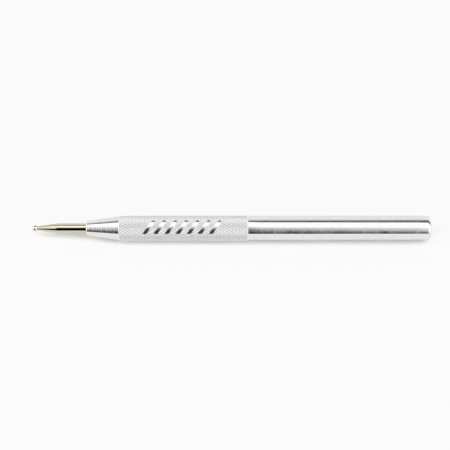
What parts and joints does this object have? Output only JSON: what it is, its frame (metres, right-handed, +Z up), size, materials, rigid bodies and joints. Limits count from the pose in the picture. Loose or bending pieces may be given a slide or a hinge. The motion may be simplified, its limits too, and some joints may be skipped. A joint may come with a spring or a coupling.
{
  "type": "ball-tipped modelling stylus",
  "caption": "Slim metal hand stylus: small ball on a tapered plated shank, pressed into a turned aluminium handle with a tapered nose, a diamond-knurled grip and a smooth round barrel.",
  "frame": {"origin": "centre of the handle's butt face", "axes": "X along the tool's axis, +X out of the butt face, the ball at the -X end; +Z up as the tool lies on a bench"},
  "size_m": [0.127, 0.0082, 0.0082],
  "materials": {
    "handle": "polished, with a diamond-knurled grip",
    "shank": "bright nickel plate, slightly warm",
    "ball": "polished hardened steel",
    "braze": "bright silver-coloured brazing filler"
  },
  "bodies": {
    "root": {"handle": "handle", "shank": "shank", "ball_tip": "ball", "braze_joint": "braze"}
  },
  "joints": []
}
